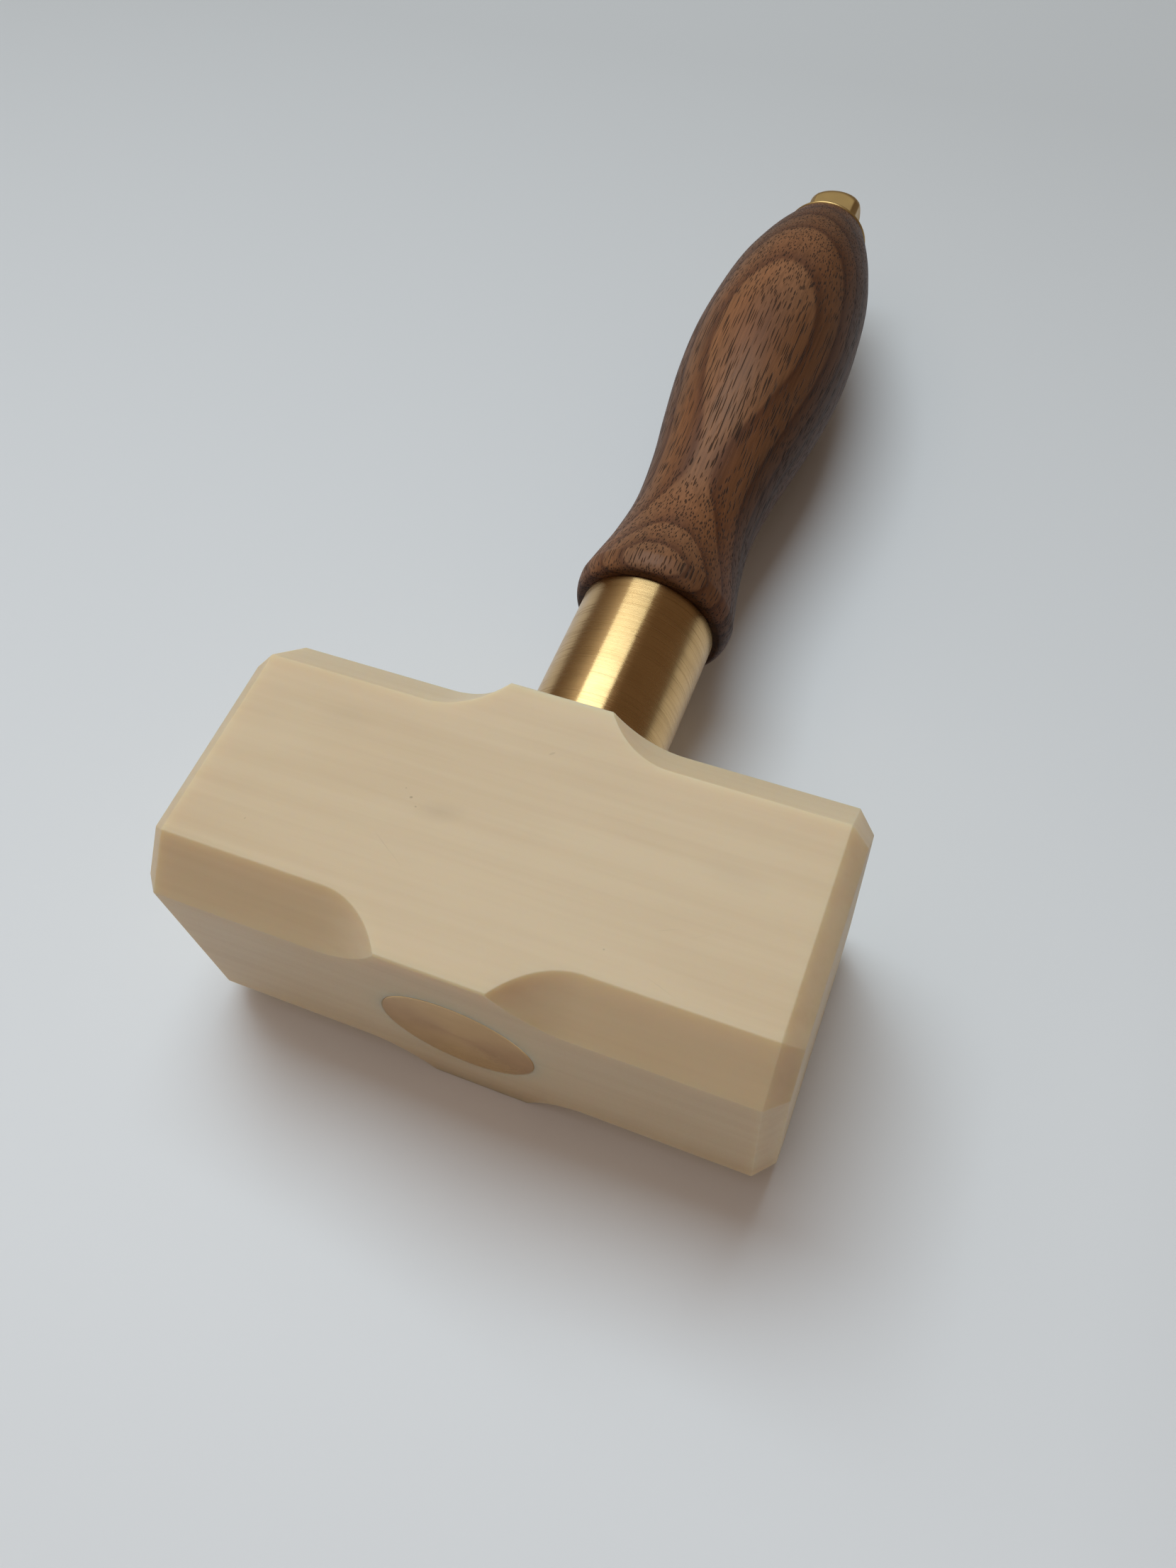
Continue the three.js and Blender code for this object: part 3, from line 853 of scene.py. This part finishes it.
def build_grip(material):
    """The turned walnut handle: a rounded lip at its mouth, the swelling grip and its bore."""
    knots = [(r * MM, y * MM) for r, y in GRIP_OUTLINE]
    lip = []
    for k in range(LIP_STEPS):
        angle = -math.pi / 2 * (1 - k / LIP_STEPS)
        lip.append((
            MOUTH_RADIUS + (LIP_RADIUS - MOUTH_RADIUS) * math.cos(angle),
            LIP_STATION * (1 + math.sin(angle)),
        ))
    body = smooth_curve(knots, GRIP_STEPS)
    mouth = (GRIP_BORE_RADIUS, 0.0)
    end = (GRIP_BORE_RADIUS, knots[-1][1])
    outline = [mouth] + lip + body + [end, mouth]
    return lathe("grip", [(r, y + GRIP_LOW.y) for r, y in outline], GRIP_SEGMENTS, material)


def nut_flat_distance(height):
    """Distance of the wrench flats from the axis at a height over the seat. There are none below
    the fillet that ends them."""
    if height >= NUT_FLATS_START + NUT_FLATS_FILLET:
        return NUT_HALF_FLATS
    drop = NUT_FLATS_START + NUT_FLATS_FILLET - height
    if drop >= NUT_FLATS_FILLET:
        return math.inf
    return NUT_HALF_FLATS + NUT_FLATS_FILLET - math.sqrt(NUT_FLATS_FILLET**2 - drop**2)


def nut_radius(radius, y, angle):
    """The round outline cut by four flats, its edges worn and, on the dome, buffed away."""
    quarter = math.pi / 2
    height = y - NUT_LOW.y
    off_flat = (angle + quarter / 2) % quarter - quarter / 2
    flat = nut_flat_distance(height) / math.cos(off_flat)
    buffed = min(max((height - NUT_BUFFING_START) / NUT_BUFFING_RUN, 0.0), 1.0)
    edge = NUT_EDGE + (NUT_BUFFED_EDGE - NUT_EDGE) * buffed
    if flat > radius + edge:
        return radius
    blend = max(edge - abs(flat - radius), 0.0) / edge
    return min(flat, radius) - blend**2 * edge / 4


def build_nut(material):
    """The cap nut: a rounded rim, a concave flare, the round body with its flats, and the dome."""
    outline = [(0.0, 0.0)]
    shoulder = NUT_SKIRT - NUT_LIP
    for k in range(NUT_LIP_STEPS + 1):
        angle = -math.pi / 2 + math.pi * k / NUT_LIP_STEPS
        outline.append((shoulder + NUT_LIP * math.cos(angle), NUT_LIP + NUT_LIP * math.sin(angle)))
    for k in range(1, NUT_FLARE_STEPS + 1):
        angle = math.pi * 1.5 - math.pi / 2 * k / NUT_FLARE_STEPS
        outline.append((
            shoulder + (shoulder - NUT_BODY) * math.cos(angle),
            NUT_FLARE + (NUT_FLARE - 2 * NUT_LIP) * math.sin(angle),
        ))
    for y in spaced(NUT_FLARE, NUT_BODY_HEIGHT, NUT_BODY_STEPS)[1:-1]:
        outline.append((NUT_BODY, y))
    for k in range(NUT_DOME_STEPS):
        angle = math.pi / 2 * k / NUT_DOME_STEPS
        outline.append((NUT_BODY * math.cos(angle), NUT_BODY_HEIGHT + NUT_DOME * math.sin(angle)))
    outline.append((0.0, NUT_BODY_HEIGHT + NUT_DOME))
    seated = [(r, y + NUT_LOW.y) for r, y in outline]
    return lathe("nut", seated, NUT_SEGMENTS, material, radius_at=nut_radius)


# ------------------------------------------------------------------ build

nylon = nylon_material()
turned_brass = turned_brass_material()
polished_brass = polished_brass_material()
walnut = walnut_material()

PIECES = [
    (build_head(nylon), "mallet_head", "nylon"),
    (build_shank(turned_brass), "brass_shank", "turned_brass"),
    (build_grip(walnut), "walnut_handle", "walnut"),
    (build_nut(polished_brass), "cap_nut", "polished_brass"),
]
for piece, node, slot in PIECES:
    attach(piece, "root")
    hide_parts(node)

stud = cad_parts["tie_stud"]
stud.data.materials.clear()
stud.data.materials.append(steel_material())

# ------------------------------------------------------------------ floor, light and camera

FLOOR_HALF = 3.0
floor = mesh_object(
    "floor",
    [(-FLOOR_HALF, -FLOOR_HALF, 0), (FLOOR_HALF, -FLOOR_HALF, 0),
     (FLOOR_HALF, FLOOR_HALF, 0), (-FLOOR_HALF, FLOOR_HALF, 0)],
    [(0, 1, 2, 3)],
    floor_material(),
)


def soft_light(name, direction, distance, size, power, colour, aim):
    """A rectangular light that faces the point aim from a direction, its height towards +Y."""
    lamp = bpy.data.lights.new(name, "AREA")
    lamp.shape = "RECTANGLE"
    lamp.size, lamp.size_y = size
    lamp.energy = power
    lamp.color = colour
    obj = link(bpy.data.objects.new(name, lamp))
    back = Vector(direction).normalized()
    up = (Vector((0, 1, 0)) - back * back.y).normalized()
    axes = Matrix((up.cross(back), up, back)).transposed()
    obj.matrix_world = Matrix.Translation(Vector(aim) + back * distance) @ axes.to_4x4()


WINDOW_TILT = math.radians(-12.5)  # about Y, from straight up towards -X
WINDOW_LEAN = 0.31  # share of its direction that is along +Y
window_rise = math.sqrt(1 - WINDOW_LEAN**2)
soft_light(
    "window",
    direction=(
        math.sin(WINDOW_TILT) * window_rise,
        WINDOW_LEAN,
        math.cos(WINDOW_TILT) * window_rise,
    ),
    distance=1.2,
    size=(0.82, 0.66),
    power=8.7,
    colour=(0.745, 0.90, 0.985),
    aim=(0, -0.03, 0.02),
)
soft_light(
    "ceiling",
    direction=(0, 0, 1),
    distance=0.75,
    size=(0.9, 0.9),
    power=1.2,
    colour=(1.0, 0.88, 0.84),
    aim=(-0.2, -0.25, 0),
)

ROOM_COLOUR = (0.136, 0.098, 0.070)
GLOW_DIRECTION = (-0.473, 0.45, 0.757)
GLOW_COLOUR = (1.00, 0.98, 0.92)
# (cosine of the angle from the glow's middle, its share of the colour)
GLOW_FALL = [(0.72, 0.0), (0.80, 0.05), (0.865, 0.12), (0.917, 0.21), (0.956, 0.37), (1.0, 0.82)]


def light_the_world():
    """A dim warm room, with a broad glow that fades with the angle from its middle."""
    world = bpy.data.worlds.new("studio")
    bpy.context.scene.world = world
    world.use_nodes = True
    tree = world.node_tree
    direction = tree.nodes.new("ShaderNodeTexCoord").outputs["Generated"]
    towards_glow = tree.nodes.new("ShaderNodeVectorMath")
    towards_glow.operation = "DOT_PRODUCT"
    tree.links.new(direction, towards_glow.inputs[0])
    towards_glow.inputs[1].default_value = GLOW_DIRECTION
    ramp = tree.nodes.new("ShaderNodeValToRGB")
    elements = ramp.color_ramp.elements
    while len(elements) < len(GLOW_FALL):
        elements.new(0.5)
    for element, (cosine, share) in zip(elements, GLOW_FALL):
        element.position = cosine
        mixed = [room + (glow - room) * share for room, glow in zip(ROOM_COLOUR, GLOW_COLOUR)]
        element.color = (*mixed, 1)
    tree.links.new(towards_glow.outputs["Value"], ramp.inputs["Fac"])
    tree.links.new(ramp.outputs["Color"], tree.nodes["Background"].inputs["Color"])


light_the_world()

# The lens and place that give the photographed view.
CAMERA_AZIMUTH = math.radians(-28.63)  # of the view direction, from +Y towards +X
CAMERA_DIP = math.radians(58.64)
CAMERA_ROLL = math.radians(8.17)
CAMERA_FROM_HEAD = Vector((53.55, -69.93, 200.04)) * MM  # from under the middle of the head
CAMERA_LENS = 27.99  # millimetres
CAMERA_SENSOR = 36.0  # millimetres
CAMERA_CLIP_START = 0.01


def build_camera():
    """The camera of the photographed view, turned about its own axis by the roll."""
    forward = Vector((
        math.sin(CAMERA_AZIMUTH) * math.cos(CAMERA_DIP),
        math.cos(CAMERA_AZIMUTH) * math.cos(CAMERA_DIP),
        -math.sin(CAMERA_DIP),
    ))
    right = forward.cross(Vector((0, 0, 1))).normalized()
    down = forward.cross(right)
    rolled_right = right * math.cos(CAMERA_ROLL) + down * math.sin(CAMERA_ROLL)
    rolled_down = down * math.cos(CAMERA_ROLL) - right * math.sin(CAMERA_ROLL)
    data = bpy.data.cameras.new("camera")
    data.lens = CAMERA_LENS
    data.sensor_fit = "AUTO"
    data.sensor_width = CAMERA_SENSOR
    data.clip_start = CAMERA_CLIP_START
    obj = link(bpy.data.objects.new("camera", data))
    axes = Matrix((rolled_right, -rolled_down, -forward)).transposed()
    place = Vector((HEAD_MIDDLE.x, HEAD_MIDDLE.y, HEAD_LOW.z)) + CAMERA_FROM_HEAD
    obj.matrix_world = Matrix.Translation(place) @ axes.to_4x4()
    return obj


bpy.context.scene.camera = build_camera()
bpy.context.scene.view_settings.view_transform = "Standard"
